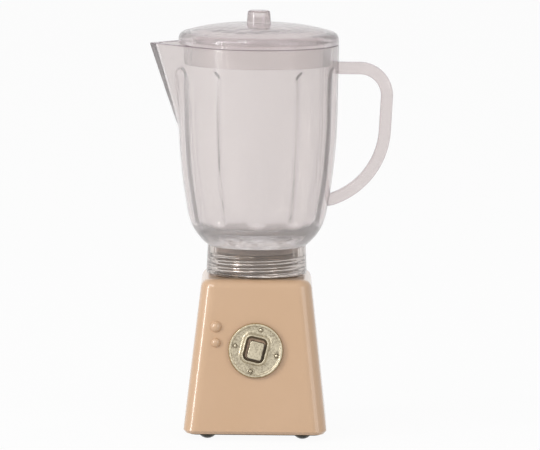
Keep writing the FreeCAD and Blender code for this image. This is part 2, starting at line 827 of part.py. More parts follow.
def make_jug():
    body = new_body("jug")
    outer = sketch_on(body, "XZ_Plane", "outer_profile")
    collar_bottom = base_top + collar_foot
    collar_low = collar_bore + collar_wall
    outline(
        outer,
        [
            (0, seal_top),
            (collar_bore, seal_top),
            (collar_bore, collar_bottom),
            (collar_low - collar_edge, collar_bottom),
            (collar_low, collar_bottom + collar_edge),
            *jug_side(0.0),
            (0, rim_level),
        ],
    )
    revolve(body, outer, "outer_form")
    spout_end = rim_level - spout_root
    upper = spout_section(body, "spout_top", rim_level, spout_reach, rim_half)
    lower = spout_section(body, "spout_foot", spout_end, rim_half, rim_half - jug_wall * 0.25)
    fin = loft(body, [upper, lower], "spout_form")
    doc.recompute()
    ridge = [
        f"Edge{n + 1}"
        for n, edge in enumerate(fin.Shape.Edges)
        if edge.BoundBox.ZLength > spout_root.value * 0.5
        and edge.BoundBox.YLength < 1e-4
        and edge.BoundBox.XMin < -rim_half.value - 1
    ]
    nose = body.newObject("PartDesign::Fillet", "spout_nose")
    nose.Base = (fin, ridge)
    nose.setExpression("Radius", spout_nose.formula)
    inner = sketch_on(body, "XZ_Plane", "inner_profile")
    outline(inner, [(0, floor_top), *jug_inside(jug_wall), (rim_half - jug_wall, rim_level), (0, rim_level)])
    revolve(body, inner, "inside", "PartDesign::Groove")
    rib = sketch_on(body, "YZ_Plane", "rib_profile")
    face = jug_inside(jug_wall + rib_proud)
    back = jug_inside(jug_wall * 0.5)
    rib_end = belly_half - jug_wall
    outline(
        rib,
        [
            *face,
            (rib_end - rib_proud, rib_top - rib_wide * 0.5),
            (rib_end - rib_proud * 0.4, rib_top),
            (rib_end + jug_wall * 0.5, rib_top),
            *back[::-1],
        ],
    )
    first = body.newObject("PartDesign::Revolution", "rib")
    first.Profile = rib
    first.ReferenceAxis = (rib, ["V_Axis"])
    first.Midplane = True
    rib_angle = rib_wide / (belly_half - jug_wall) * (180 / math.pi)
    first.setExpression("Angle", rib_angle.formula)
    doc.recompute()
    ribs = body.newObject("PartDesign::PolarPattern", "ribs")
    ribs.Originals = [first]
    ribs.Axis = (plane(body, "Z_Axis"), [""])
    ribs.Angle = 360
    ribs.setExpression("Occurrences", rib_count.formula)
    body.Tip = ribs
    doc.recompute()
    channel_top = spout_section(body, "channel_top", rim_level, channel_reach(spout_reach), rim_half - jug_wall)
    channel_end = rim_half - jug_wall
    channel_low = spout_section(
        body, "channel_foot", spout_end, channel_end, rim_half - jug_wall * 1.25
    )
    loft(body, [channel_top, channel_low], "channel", "PartDesign::SubtractiveLoft")


def channel_reach(reach):
    """The channel's apex: the spout's plan drawn in by one wall."""
    return reach * (rim_half - jug_wall) / rim_half


make_jug()


# Handle: one bent bar from the upper arm round to the lower root


def make_handle():
    body = new_body("jug_handle")
    path = sketch_on(body, "XZ_Plane", "handle_path")
    start = rim_half - jug_wall * 0.5
    finish = shoulder_half
    outline(
        path,
        [
            (start, handle_top),
            (handle_out, handle_top, handle_upper_bend),
            (handle_low_out, handle_low, handle_lower_bend),
            (finish, handle_root),
        ],
        closed=False,
    )
    section = sketch_on(body, "YZ_Plane", "handle_section", start)
    half_y = handle_wide / 2
    half_z = handle_thick / 2
    corners = []
    for y_side, z_side, turned in ((-1, -1, False), (1, -1, True), (1, 1, False), (-1, 1, True)):
        y_edge = as_size(y_side) * half_y
        y_in = as_size(y_side) * (half_y - handle_edge)
        low = as_size(z_side) * half_z + handle_top
        low_in = as_size(z_side) * (half_z - handle_edge) + handle_top
        pair = [(y_edge, low_in), (y_in, low)]
        corners += pair[::-1] if turned else pair
    outline(section, corners)
    bar = body.newObject("PartDesign::AdditivePipe", "bar")
    bar.Profile = section
    bar.Spine = (path, [])
    doc.recompute()
    trim = sketch_on(body, "XZ_Plane", "jug_face")
    outline(
        trim,
        [
            (0, collar_top),
            *jug_side(root_gap),
            (0, rim_level),
        ],
    )
    revolve(body, trim, "seat_on_jug", "PartDesign::Groove")


make_handle()


# Lid: a shallow dome with a straight plug under it


def make_lid():
    body = new_body("lid")
    profile = sketch_on(body, "XZ_Plane", "lid_profile")
    crown = rim_level + lid_crown
    knob_land = knob_low + knob_edge
    plug_half = belly_half - jug_wall - plug_gap
    land_level = crown - lid_crown * 0.02
    edge_level = rim_level + lid_turn_high
    turn = (lid_shoulder, edge_level)
    edge = (lid_flange, rim_level + lid_flange_high)
    outline(
        profile,
        [
            (knob_pin, land_level),
            (knob_land, land_level),
            (lid_brow, rim_level + lid_brow_high),
            turn,
            *arc_points(turn, edge, lid_turn, 3, -1),
            edge,
            (lid_flange, rim_level),
            (plug_half, rim_level),
            (plug_half, rim_level - plug_deep),
            (plug_half - lid_wall, rim_level - plug_deep),
            (plug_half - lid_wall, edge_level - lid_wall * 1.4),
            (lid_brow, rim_level + lid_brow_high - lid_wall),
            (knob_land, land_level - lid_wall),
            (knob_pin, land_level - lid_wall),
        ],
    )
    revolve(body, profile, "lid")
    return land_level


lid_land = make_lid()


def make_knob():
    body = new_body("lid_knob")
    profile = sketch_on(body, "XZ_Plane", "knob_profile")
    top = lid_land + knob_high
    outline(
        profile,
        [
            (0, lid_land - lid_wall),
            (knob_pin, lid_land - lid_wall),
            (knob_pin, lid_land),
            (knob_low, lid_land),
            (knob_upper, top - knob_edge),
            (knob_upper - knob_edge, top),
            (0, top),
        ],
    )
    revolve(body, profile, "knob")


make_knob()


# Checks and files


def write_parts():
    doc.recompute()
    for item in doc.Objects:
        if "Invalid" in item.State or "Error" in item.State:
            raise RuntimeError(f"{item.Label} failed: {item.State}")
    for part in parts:
        if part.Shape.isNull() or not part.Shape.isValid():
            raise RuntimeError(f"{part.Label} has no valid shape")
    os.makedirs("parts", exist_ok=True)
    for part in parts:
        part.Shape.exportStep(f"parts/{part.Label}.step")
        print(f"{part.Label}: {len(part.Shape.Solids)} solid, {part.Shape.Volume:.2f} mm3")


write_parts()
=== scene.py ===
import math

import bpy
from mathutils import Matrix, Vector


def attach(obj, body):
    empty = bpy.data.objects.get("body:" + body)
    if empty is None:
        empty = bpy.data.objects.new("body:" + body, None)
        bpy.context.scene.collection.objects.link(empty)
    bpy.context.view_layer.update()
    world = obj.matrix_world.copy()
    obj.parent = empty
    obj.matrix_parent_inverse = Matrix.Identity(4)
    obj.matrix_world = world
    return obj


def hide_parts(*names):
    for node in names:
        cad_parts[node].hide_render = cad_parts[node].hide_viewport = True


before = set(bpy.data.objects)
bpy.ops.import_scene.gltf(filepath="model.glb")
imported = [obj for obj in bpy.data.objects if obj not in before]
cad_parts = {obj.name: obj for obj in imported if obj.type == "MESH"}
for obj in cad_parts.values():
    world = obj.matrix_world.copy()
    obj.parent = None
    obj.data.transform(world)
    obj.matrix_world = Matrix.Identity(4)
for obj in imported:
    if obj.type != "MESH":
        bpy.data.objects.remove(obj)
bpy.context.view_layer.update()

# %% [markdown]
# # A doll's-house toy blender
# The blender has a peach enamelled metal base with an antique brass switch plate, a threaded metal
# neck and a clear plastic jug with a lid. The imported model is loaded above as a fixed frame. Every
# length below is a real size in millimetres, and one function turns millimetres to metres.

MM = 0.001


def metres(*lengths):
    """Real sizes in millimetres as Blender's metres."""
    return tuple(length * MM for length in lengths)


# %% [markdown]
# ## Camera
# The photograph was taken with a long lens from about a metre away and seven degrees above the
# object, so the sides hardly converge. The picture leans by half a degree, as the photograph does.

# %% Camera
CAMERA_DISTANCE = 1000.0
CAMERA_ELEVATION = math.radians(6.85)
CAMERA_ROLL = math.radians(0.55)
AIM = Vector(metres(2.15, 0.0, 34.4))

bpy.ops.object.select_all(action="DESELECT")
bpy.ops.object.camera_add()
camera = bpy.context.active_object
back = Vector((0.0, -math.cos(CAMERA_ELEVATION), math.sin(CAMERA_ELEVATION)))
camera.location = AIM + back * CAMERA_DISTANCE * MM
camera.rotation_euler = (math.pi / 2 - CAMERA_ELEVATION, 0.0, 0.0)
camera.rotation_euler.rotate_axis("Z", CAMERA_ROLL)
camera.data.lens = 403.3
camera.data.sensor_width = 36.0
camera.data.clip_start = 0.05
camera.data.clip_end = 20.0
bpy.context.scene.camera = camera
bpy.context.scene.view_settings.view_transform = "Standard"
print("camera", tuple(round(v, 3) for v in camera.location))

# %% [markdown]
# ## Material helpers
# Colours are written as sRGB hex values, the way they would be picked from a paint chart, and one
# function turns them to Blender's linear values. A second function adds a node, sets its values and
# joins its inputs, so that a material reads from top to bottom.

# %% Material helpers


def paint(code):
    """A colour written as an sRGB hex value, in linear light."""
    channels = [int(code[i : i + 2], 16) / 255 for i in (1, 3, 5)]
    return tuple(c / 12.92 if c <= 0.04045 else ((c + 0.055) / 1.055) ** 2.4 for c in channels) + (1.0,)


def add(tree, kind, settings=None, **inputs):
    """Adds a shader node. An input is a value or another node's output, and i6 means input number 6."""
    node = tree.nodes.new("ShaderNode" + kind)
    for name, value in (settings or {}).items():
        setattr(node, name, value)
    for name, value in inputs.items():
        numbered = name[0] == "i" and name[1:].isdigit()
        socket = node.inputs[int(name[1:]) if numbered else name.replace("_", " ")]
        if isinstance(value, bpy.types.NodeSocket):
            tree.links.new(value, socket)
        else:
            socket.default_value = value
    return node


def new_material(name):
    """A material with an empty node tree."""
    material = bpy.data.materials.new(name)
    material.use_nodes = True
    material.node_tree.nodes.clear()
    return material, material.node_tree


def finish_material(tree, shader):
    """Joins the last shader to the material's output."""
    add(tree, "OutputMaterial", Surface=shader.outputs[0])


def wear(node, material):
    """Gives a piece or a CAD node one material all over."""
    piece = bpy.data.objects[node]
    if not piece.material_slots:
        piece.data.materials.append(material)
    for slot in piece.material_slots:
        slot.material = material


# %% [markdown]
# ## Turned shapes
# The jug, the lid, the knob, the neck, the seal, the rivets and the bumps are all turned shapes. By
# hand such a piece is drawn as half a section and spun. Here a small plane is merged to one point,
# the point is extruded along the section, and the chain is spun about the axis. A section is a list
# of points in millimetres, distance from the axis first and level second.

# %% Sections


def bow(start, finish, radius, pieces):
    """Points along an arc from start to finish. It bulges to the right, or left if radius is negative."""
    a, b = Vector(start), Vector(finish)
    half = (b - a) / 2
    side = math.copysign(1.0, radius)
    across = Vector((half.y, -half.x)).normalized() * side
    centre = a + half - across * math.sqrt(radius ** 2 - half.length_squared)
    sweep = (a - centre).angle_signed(b - centre) / pieces
    points = []
    for step in range(pieces + 1):
        spoke = a - centre
        spoke.rotate(Matrix.Rotation(-sweep * step, 2))
        points.append(tuple(centre + spoke))
    return points


def rounded(corners, steps=4):
    """Points of a section whose corners may carry a radius as a third number."""
    points = []
    for number, corner in enumerate(corners):
        if len(corner) == 2:
            points.append(corner)
            continue
        here = Vector(corner[:2])
        before = (Vector(corners[number - 1][:2]) - here).normalized()
        after = (Vector(corners[number + 1][:2]) - here).normalized()
        reach = corner[2] / math.tan(before.angle(after) / 2)
        turn = before.angle_signed(after)
        points += bow(here + before * reach, here + after * reach, math.copysign(corner[2], turn), steps)
    return points


def divided(points, longest):
    """The same section with its long runs cut into equal shorter ones."""
    result = [points[0]]
    for a, b in zip(points, points[1:]):
        count = max(1, math.ceil(math.dist(a, b) / longest))
        result += [tuple(Vector(a).lerp(Vector(b), k / count)) for k in range(1, count + 1)]
    return result


quarter_bend = rounded([(0, 0), (2, 0, 1), (2, 2)])
print("a quarter bend in four steps:", [tuple(round(v, 2) for v in p) for p in quarter_bend])

# %% Turning


def deselect():
    """Leaves edit mode and deselects every object."""
    if bpy.context.object and bpy.context.object.mode != "OBJECT":
        bpy.ops.object.mode_set(mode="OBJECT")
    bpy.ops.object.select_all(action="DESELECT")


MERGE_WITHIN = 0.002


def chain(name, section):
    """A new piece in edit mode: a chain of edges through a section's points."""
    deselect()
    bpy.ops.mesh.primitive_plane_add(size=MM)
    piece = bpy.context.active_object
    piece.name = piece.data.name = name
    bpy.ops.object.mode_set(mode="EDIT")
    bpy.ops.mesh.merge(type="CENTER")
    place = Vector((0.0, 0.0, 0.0))
    for number, point in enumerate(section):
        target = Vector(metres(point[0], 0.0, point[1]))
        if number == 0:
            bpy.ops.transform.translate(value=target)
        else:
            bpy.ops.mesh.extrude_vertices_move(TRANSFORM_OT_translate={"value": target - place})
        place = target
    return piece


def close_up(piece, angle=30.0):
    """Merges doubles, turns the faces outwards and smooths all but the sharp edges."""
    bpy.ops.mesh.select_all(action="SELECT")
    bpy.ops.mesh.remove_doubles(threshold=MERGE_WITHIN * MM)
    bpy.ops.mesh.normals_make_consistent(inside=False)
    bpy.ops.object.mode_set(mode="OBJECT")
    bpy.ops.object.shade_smooth_by_angle(angle=math.radians(angle))
    print(piece.name, len(piece.data.vertices), "points")


def turned(name, section, steps):
    """A section spun all the way round the axis."""
    piece = chain(name, section)
    bpy.ops.mesh.select_all(action="SELECT")
    bpy.ops.mesh.spin(steps=steps, angle=math.tau, center=(0, 0, 0), axis=(0, 0, 1))
    close_up(piece)
    return piece


# %% [markdown]
# ## Screw thread
# The neck and the jug's collar carry the same right-hand thread. One function says how high the
# thread stands at an angle and a level, and the points of both pieces are moved in or out by it, so
# the two always fit. The collar's wall comes in where the neck has its groove.

# %% Thread
PITCH = 1.1
THREAD_LOW, THREAD_HIGH = 26.9, 29.7
THREAD_FADE = 0.5
THREAD_STEEPNESS = 0.95


def thread_height(place):
    """How high the ridge stands, from 0 to 1, and how much thread is left where it fades at an end."""
    level = place.z / MM
    turn = math.atan2(place.y, place.x) / math.tau
    wave = 0.5 + THREAD_STEEPNESS * math.cos(math.tau * (level / PITCH - turn))
    low = max(0.0, (level - THREAD_LOW) / THREAD_FADE + 0.5)
    high = max(0.0, (THREAD_HIGH - level) / THREAD_FADE + 0.5)
    return min(1.0, max(0.0, wave)), min(1.0, low, high)


def push_out(point, radius):
    """Moves a point of a mesh straight out or in, to a distance from the axis in millimetres."""
    length = math.hypot(point.x, point.y)
    point.x *= radius * MM / length
    point.y *= radius * MM / length


# %% Neck
NECK_FOOT, NECK_TOP = 26.3, 30.1
NECK_CREST, NECK_CORE = 6.85, 6.35
NECK_BLANK = NECK_CREST - 0.12
NECK_BORE, SCREW_BORE = 5.85, 1.02
NECK_FLOOR = 29.0
neck_side = divided([(NECK_BLANK, NECK_FOOT), (NECK_BLANK, NECK_TOP - 0.25)], 0.07)
neck = turned(
    "neck_ring_turned",
    rounded([
        (SCREW_BORE, NECK_FOOT), *neck_side, (NECK_CREST - 0.35, NECK_TOP), (NECK_BORE, NECK_TOP, 0.12),
        (NECK_BORE, NECK_FLOOR, 0.3), (SCREW_BORE, NECK_FLOOR), (SCREW_BORE, NECK_FOOT),
    ]),
    144,
)
for vertex in neck.data.vertices:
    on_side = math.hypot(vertex.co.x, vertex.co.y) > (NECK_BLANK - 0.03) * MM
    if on_side and vertex.co.z > (NECK_FOOT + 0.1) * MM:
        ridge, share = thread_height(vertex.co)
        thread = NECK_CORE + (NECK_CREST - NECK_CORE) * ridge
        push_out(vertex.co, thread * share + NECK_BLANK * (1.0 - share))
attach(neck, "base")
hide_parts("neck_ring")

# %% [markdown]
# ## Jug
# The jug is one clear moulding: a threaded collar, a floor, a wall that bulges to a straight belly,
# ten ribs inside and a pouring spout. The wall is turned first. Then its points are moved: the ribs
# are pressed in on the inside, and the spout is drawn out on one side. A spout drawn from a round
# wall has two flat sides that leave the wall at a tangent, so each level's circle is stretched by
# one over the cosine of the angle to the tangent point.

# %% Jug wall
WALL = 1.1
COLLAR_FOOT, COLLAR_TOP = 26.5, 31.2
COLLAR_BORE, COLLAR_SIDE = 6.95, 8.1
THREAD_DEPTH = 0.45
SEAL_TOP = 31.6
FLOOR_TOP = 34.0
SHOULDER, SHOULDER_SIDE = 36.1, 11.35
BELLY, BELLY_SIDE = 54.0, 13.15
RIM, RIM_SIDE = 64.5, 13.25
RIM_START = RIM - 0.2
BELLY_BOW = 94.0
outer_side = [
    *bow((COLLAR_SIDE, COLLAR_TOP), (SHOULDER_SIDE, SHOULDER), 8.9, 18),
    *bow((SHOULDER_SIDE, SHOULDER), (BELLY_SIDE, BELLY), BELLY_BOW, 42)[1:],
    *divided([(BELLY_SIDE, BELLY), (RIM_SIDE, RIM_START)], 0.35)[1:],
]
inner_side = [
    *bow((7.85, FLOOR_TOP), (SHOULDER_SIDE - WALL, SHOULDER), 2.64, 10),
    *bow((SHOULDER_SIDE - WALL, SHOULDER), (BELLY_SIDE - WALL, BELLY), BELLY_BOW, 42)[1:],
    *divided([(BELLY_SIDE - WALL, BELLY), (RIM_SIDE - WALL, RIM_START)], 0.35)[1:],
]
collar = [
    *divided([(COLLAR_BORE, SEAL_TOP - 0.15), (COLLAR_BORE, COLLAR_FOOT + 0.25)], 0.09),
    *rounded([
        (COLLAR_BORE, COLLAR_FOOT + 0.3), (COLLAR_BORE + 0.25, COLLAR_FOOT),
        (COLLAR_SIDE + 0.2, COLLAR_FOOT, 0.35), (COLLAR_SIDE, COLLAR_TOP - 0.2),
    ]),
]
rim = rounded([
    (RIM_SIDE, RIM_START), (RIM_SIDE, RIM, 0.18),
    (RIM_SIDE - WALL, RIM, 0.18), (RIM_SIDE - WALL, RIM_START),
], 3)
jug = turned(
    "jug_moulding",
    [
        (0.0, SEAL_TOP), (COLLAR_BORE - 0.25, SEAL_TOP), *collar, *outer_side, *rim[1:-1],
        *inner_side[::-1], (0.0, FLOOR_TOP),
    ],
    320,
)

# %% Ribs
RIBS = 10
RIB_HALF = 1.45
RIB_FLANK = 0.6
RIB_PROUD = 0.42
RIB_LOW, RIB_TOP = 34.9, 60.8
RIB_RUN_IN, RIB_RUN_OUT = 1.2, 0.35
RIB_CROWN = 0.9


def ease(value, start, finish):
    """0 before start, 1 after finish and a soft step between."""
    share = min(1.0, max(0.0, (value - start) / (finish - start)))
    return share * share * (3.0 - 2.0 * share)


def rib_height(angle, radius, level):
    """How far a rib stands at a place on the inner wall. Its top end is rounded like a crown."""
    spacing = math.tau / RIBS
    off = (angle - spacing / 2 + math.pi) % spacing
    off = min(off, spacing - off) * radius
    width = 1.0 - ease(off, 0.0, RIB_HALF + RIB_FLANK)
    end = RIB_TOP - RIB_CROWN * (off / RIB_HALF) ** 2
    height = ease(level, RIB_LOW, RIB_LOW + RIB_RUN_IN) * (1.0 - ease(level, end - RIB_RUN_OUT, end))
    return RIB_PROUD * width * height


print("ribs at every", round(math.degrees(math.tau / RIBS)), "degrees")

# %% Spout
SPOUT_LOW, SPOUT_TIP = 50.3, 18.3
SPOUT_NOSE = 0.02


def wall_radius(level):
    """The outer side's radius at a level."""
    for (r0, z0), (r1, z1) in zip(outer_side, outer_side[1:]):
        if z0 <= level <= z1:
            return r0 + (r1 - r0) * (level - z0) / (z1 - z0)
    return outer_side[-1][0]


def spout_stretch(angle, level):
    """How many times farther out the spout's flat side lies than the round wall."""
    body = wall_radius(level)
    tip = body + (SPOUT_TIP - body) * (level - SPOUT_LOW) / (RIM - SPOUT_LOW)
    tangent = math.acos(min(1.0, body / tip))
    away = math.hypot(math.pi - abs(angle), SPOUT_NOSE)
    return 1.0 / math.cos(tangent - away) if away < tangent else 1.0


print("the spout reaches", SPOUT_TIP, "mm from the axis")

# %% Thread, ribs and spout on the jug
for vertex in jug.data.vertices:
    place = vertex.co
    radius = math.hypot(place.x, place.y) / MM
    level = place.z / MM
    angle = math.atan2(place.y, place.x)
    if level < SEAL_TOP - 0.1 and radius < COLLAR_BORE + 0.05:
        ridge, share = thread_height(place)
        push_out(place, COLLAR_BORE - THREAD_DEPTH * (1.0 - ridge) * share)
    if level > FLOOR_TOP + 0.2 and radius < wall_radius(level) - WALL / 2:
        radius -= rib_height(angle, radius, level)
        push_out(place, radius)
    if level > SPOUT_LOW:
        push_out(place, radius * spout_stretch(angle, level))

# %% Parts of the jug that look different
# Slot 0 is the wall, slot 1 the rim's edge and slot 2 the collar.
for face in jug.data.polygons:
    if face.center.z > (RIM - 0.12) * MM:
        face.material_index = 1
    elif face.center.z < COLLAR_TOP * MM:
        face.material_index = 2
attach(jug, "jug")
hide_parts("jug")
print("jug with", len(jug.data.polygons), "faces")

# %% [markdown]
# ## Handle
# The handle is a round-edged bar that leaves the jug under the rim, turns down in a tight bend, and
# comes back to the lower wall in a wide one. A rectangular face is rounded at its corners, then
# pulled straight and spun round each bend, as a bar is bent in a jig. Its two ends are then moved on
# to the wall, with the thin line of the joint left open.

# %% Route of the handle
HANDLE_LEVEL = 60.6
HANDLE_TALL, HANDLE_DEEP = 2.0, 2.2
HANDLE_EDGE = 0.62
HANDLE_JOINT = 0.02
bends = [(Vector((21.45, HANDLE_LEVEL)), 4.5), (Vector((20.5, 41.2)), 12.8)]
route = [Vector((12.0, HANDLE_LEVEL)), bends[0][0], bends[1][0], Vector((10.3, 38.25))]
print("bends of", [radius for _, radius in bends], "mm")

# %% First face of the handle
deselect()
bpy.ops.mesh.primitive_plane_add(
    size=1.0, location=metres(route[0].x, 0.0, route[0].y), rotation=(0.0, math.pi / 2, 0.0)
)
handle = bpy.context.active_object
handle.name = handle.data.name = "jug_handle_bar"
handle.scale = metres(HANDLE_TALL, HANDLE_DEEP, 1.0)
bpy.ops.object.transform_apply(location=True, rotation=True, scale=True)
bpy.ops.object.mode_set(mode="EDIT")
bpy.ops.mesh.select_all(action="SELECT")
bpy.ops.mesh.bevel(offset=HANDLE_EDGE * MM, segments=6, affect="VERTICES")

# %% Straights and bends of the handle
spot = route[0]
for number, (corner, radius) in enumerate(bends):
    ahead = (corner - route[number]).normalized()
    onward = (route[number + 2] - corner).normalized()
    turn = ahead.angle(onward)
    reach = radius * math.tan(turn / 2)
    half_straight = (corner - ahead * reach - spot) / 2
    for _ in range(2):
        bpy.ops.mesh.extrude_region_move(
            TRANSFORM_OT_translate={"value": metres(half_straight.x, 0.0, half_straight.y)}
        )
    centre = corner - ahead * reach + Vector((ahead.y, -ahead.x)) * radius
    bpy.ops.mesh.spin(steps=22, angle=turn, center=metres(centre.x, 0.0, centre.y), axis=(0, -1, 0))
    spot = corner + onward * reach
close_up(handle, 40.0)

# %% Ends of the handle
for vertex in handle.data.vertices:
    side = vertex.co / MM
    wall = math.sqrt(wall_radius(side.z) ** 2 - side.y ** 2) + HANDLE_JOINT
    at_lower_end = (side.xz - spot).dot(onward) > -0.05
    if at_lower_end or side.x < wall:
        vertex.co.x = wall * MM
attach(handle, "jug")
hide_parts("jug_handle")
print("handle's ends stand", HANDLE_JOINT, "mm off the wall")

# %% [markdown]
# ## Lid, knob and seal
# The lid is a shallow dome with a turned-over edge, and a thin plug under it that drops into the
# jug. The knob is a short peg on top. The seal is a clear ring between the neck and the jug's floor.

# %% Lid and knob
LID_SIDE = 13.2
LID_TOP, LID_UNDER = 67.78, 66.68
LID_BORE = 0.8
LID_FLAT = 2.3
PLUG_SIDE = 11.97
PLUG_FOOT = 61.2
lid = turned(
    "lid_moulding",
    [
        (LID_BORE, LID_TOP), *bow((LID_FLAT, LID_TOP), (12.2, 66.5), -32.0, 24),
        *bow((12.2, 66.5), (LID_SIDE, 65.4), -1.2, 8)[1:],
        *rounded([
            (LID_SIDE, 65.3), (LID_SIDE, RIM, 0.15), (PLUG_SIDE, RIM, 0.1), (PLUG_SIDE, PLUG_FOOT, 0.25),
            (PLUG_SIDE - WALL, PLUG_FOOT, 0.25), (PLUG_SIDE - WALL, 65.2, 0.5), (9.6, 65.95),
        ]),
        *bow((9.4, 66.0), (LID_FLAT, LID_UNDER), 40.0, 12), (LID_BORE, LID_UNDER), (LID_BORE, LID_TOP),
    ],
    256,
)
for face in lid.data.polygons:
    face.material_index = 1 if face.center.z < (RIM - 0.1) * MM else 0
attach(lid, "lid")
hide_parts("lid")
KNOB_TOP = 69.98
knob = turned(
    "lid_knob_peg",
    rounded([
        (0.0, LID_UNDER + 0.02), (LID_BORE - 0.02, LID_UNDER + 0.02), (LID_BORE - 0.02, LID_TOP + 0.01),
        (2.0, LID_TOP + 0.01), (1.82, KNOB_TOP, 0.4), (0.0, KNOB_TOP),
    ], 6),
    96,
)
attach(knob, "lid")
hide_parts("lid_knob")

# %% Seal
SEAL_BORE, SEAL_SIDE = 4.6, 6.85
seal = turned(
    "jug_seal_ring",
    rounded([
        (SEAL_BORE, 30.8), (SEAL_BORE, NECK_TOP, 0.2), (SEAL_SIDE, NECK_TOP, 0.3),
        (SEAL_SIDE, SEAL_TOP, 0.3), (SEAL_BORE, SEAL_TOP, 0.2), (SEAL_BORE, 30.8),
    ]),
    128,
)
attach(seal, "seal")
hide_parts("jug_seal")
print("seal from", NECK_TOP, "to", SEAL_TOP, "mm")

# %% [markdown]
# ## Switch
# The switch plate is a small casting stuck on the sloping front: a disc with a raised rim, four
# rivets, and a bezel with soft slopes round a dark well. It is modelled lying flat, as a pattern
# maker would carve it, and one function then stands every switch piece on the housing's front, which
# leans back by 6.45 degrees, with the skew that the real plate was stuck on with.

# %% Place of the switch
BASE_HALF, HOUSING_FOOT = 11.8, 1.1
DRAFT = math.radians(6.45)
SKEW = math.radians(13.4)
SWITCH_LEVEL = 14.85


def front(level):
    """How far the housing's sloping front stands from the axis at a level."""
    return BASE_HALF - (level - HOUSING_FOOT) * math.tan(DRAFT)


def stand_up(piece, side=0.0, level=SWITCH_LEVEL, skew=SKEW):
    """Stands a flat-lying piece on the housing's front and keeps its object at the origin."""
    deselect()
    piece.matrix_world = (
        Matrix.Translation(metres(side, -front(level), level))
        @ Matrix.Rotation(math.pi / 2 - DRAFT, 4, "X")
        @ Matrix.Rotation(-skew, 4, "Z")
    )
    piece.select_set(True)
    bpy.context.view_layer.objects.active = piece
    bpy.ops.object.transform_apply(location=True, rotation=True, scale=True)


print("switch stands", round(front(SWITCH_LEVEL), 2), "mm in front of the axis")

# %% Tools for flat pieces


def tile(name, wide, tall, corner, level, segments=23):
    """A rounded rectangle lying flat, in edit mode with its one face selected."""
    deselect()
    bpy.ops.mesh.primitive_plane_add(size=1.0, location=metres(0.0, 0.0, level))
    piece = bpy.context.active_object
    piece.name = piece.data.name = name
    piece.scale = metres(wide, tall, 1.0)
    bpy.ops.object.transform_apply(location=True, rotation=True, scale=True)
    bpy.ops.object.mode_set(mode="EDIT")
    bpy.ops.mesh.select_all(action="SELECT")
    bpy.ops.mesh.bevel(offset=corner * MM, segments=segments, affect="VERTICES")
    return piece


def step_in(*steps):
    """Insets the selected face again and again, each time by a width and a rise in millimetres."""
    for width, rise in steps:
        bpy.ops.mesh.inset(thickness=width * MM, depth=rise * MM, use_even_offset=True)


def bridge(piece, chosen):
    """Bridges the two loops of edges whose ends both pass a test, given in millimetres."""
    bpy.ops.mesh.select_all(action="DESELECT")
    bpy.ops.mesh.select_mode(type="EDGE")
    bpy.ops.object.mode_set(mode="OBJECT")
    for edge in piece.data.edges:
        edge.select = all(chosen(piece.data.vertices[number].co / MM) for number in edge.vertices)
    bpy.ops.object.mode_set(mode="EDIT")
    bpy.ops.mesh.bridge_edge_loops()


def pick_faces(piece, chosen):
    """Selects the faces whose middle passes a test, given in millimetres."""
    bpy.ops.mesh.select_all(action="DESELECT")
    bpy.ops.mesh.select_mode(type="FACE")
    bpy.ops.object.mode_set(mode="OBJECT")
    for face in piece.data.polygons:
        face.select = chosen(face.center / MM)
    bpy.ops.object.mode_set(mode="EDIT")


# %% Bezel and well
# The well runs through to the back of the plate, because the button's stem passes through it.
BEZEL_WIDE, BEZEL_TALL, BEZEL_CORNER = 5.5, 6.1, 1.9
BEZEL_SHIFT = Vector((-0.14, 0.16))
PLATE_FACE = 0.4
plate = tile("switch_plate_cast", BEZEL_WIDE, BEZEL_TALL, BEZEL_CORNER, PLATE_FACE)
step_in((0.2, 0.03), (0.2, 0.07), (0.14, 0.15), (0.14, 0.19), (0.1, 0.13), (0.08, 0.05))
step_in((0.07, 0.0), (0.06, -0.05), (0.03, -0.1), (0.01, -0.79), (0.3, 0.0))
bpy.ops.mesh.delete(type="FACE")
bpy.ops.mesh.select_all(action="SELECT")
bpy.ops.transform.translate(value=metres(*BEZEL_SHIFT, 0.0))
bpy.ops.object.mode_set(mode="OBJECT")
print("bezel and well", len(plate.data.polygons), "faces")

# %% Disc of the plate
PLATE_SIDE = 4.52
EDGE_HIGH = 0.42
deselect()
bpy.ops.mesh.primitive_circle_add(vertices=96, radius=PLATE_SIDE * MM, fill_type="NGON")
disc = bpy.context.active_object
bpy.ops.object.mode_set(mode="EDIT")
bpy.ops.mesh.select_all(action="SELECT")
bpy.ops.mesh.extrude_region_move(TRANSFORM_OT_translate={"value": metres(0.0, 0.0, EDGE_HIGH)})
step_in((0.06, 0.12), (0.1, 0.08), (0.16, 0.02), (0.12, -0.06), (0.1, -0.12), (0.12, -0.05), (0.1, -0.01))
bpy.ops.mesh.delete(type="FACE")
pick_faces(disc, lambda middle: middle.z < 0.01)
bpy.ops.mesh.delete(type="FACE")
bpy.ops.mesh.select_mode(type="VERT")
bpy.ops.object.mode_set(mode="OBJECT")
print("disc", len(disc.data.polygons), "faces")

# %% Bezel joined to the disc
NEAR = 0.002
WELL_FLOOR = 0.08
WELL_HALF_WIDE, WELL_HALF_TALL = 1.43, 1.73


def on_back(end):
    """True on the plate's back edge and on the opening in the well's floor."""
    off = end.xy - BEZEL_SHIFT
    opening = abs(off.x) < WELL_HALF_WIDE and abs(off.y) < WELL_HALF_TALL
    return abs(end.z) < NEAR or (opening and abs(end.z - WELL_FLOOR) < NEAR)


plate.select_set(True)
bpy.context.view_layer.objects.active = plate
bpy.ops.object.join()
bpy.ops.object.mode_set(mode="EDIT")
bridge(plate, lambda end: abs(end.z - PLATE_FACE) < NEAR)
bridge(plate, on_back)
bpy.ops.mesh.select_mode(type="VERT")
close_up(plate, 50.0)

